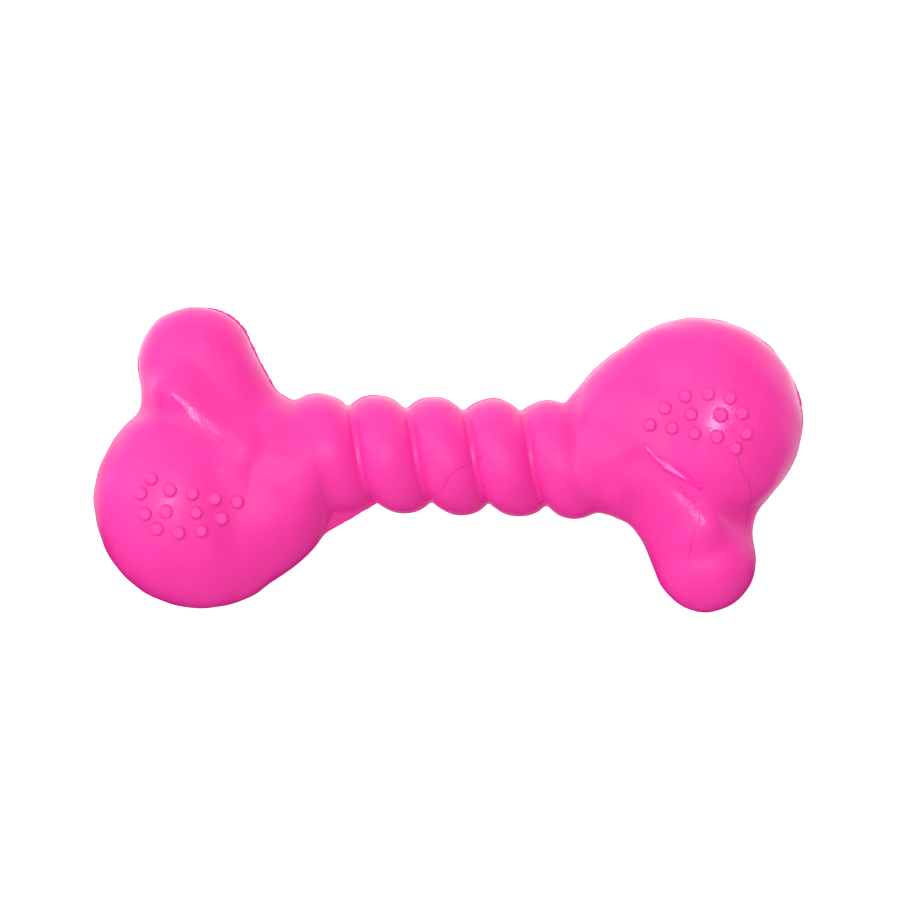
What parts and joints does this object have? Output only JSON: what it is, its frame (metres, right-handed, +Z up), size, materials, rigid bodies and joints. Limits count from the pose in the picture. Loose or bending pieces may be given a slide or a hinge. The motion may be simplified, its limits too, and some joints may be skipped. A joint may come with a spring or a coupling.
{
  "type": "bone-shaped dog toy",
  "caption": "Hollow rubber bone chew toy: a shaft with slanted screw ribs, a nubbed round knob and a shorter arm at each end, and a squeaker in the back.",
  "frame": {"origin": "middle of the bone's outline, on the surface that it lies on", "axes": "+X along the shaft towards the end whose knob is higher, +Y across it, +Z up out of the front face"},
  "size_m": [0.1492, 0.0644, 0.0356],
  "materials": {
    "pink_rubber": "hot pink moulded rubber, semi-gloss",
    "natural_plastic": "natural moulded plastic",
    "reed_film": "thin stiff film"
  },
  "bodies": {
    "bone": {"front_shell": "pink_rubber", "back_shell": "pink_rubber", "squeaker_body": "natural_plastic", "reed_plug": "natural_plastic"},
    "reed": {"reed": "reed_film"}
  },
  "joints": [
    {"name": "reed_flex", "type": "hinge", "parent": "bone", "child": "reed", "pos_m": [-0.03638, -0.00515, 0.01764], "axis": [1, 0, 0], "range_deg": [-1, 3], "stiffness_Nm_per_rad": 0.007}
  ]
}
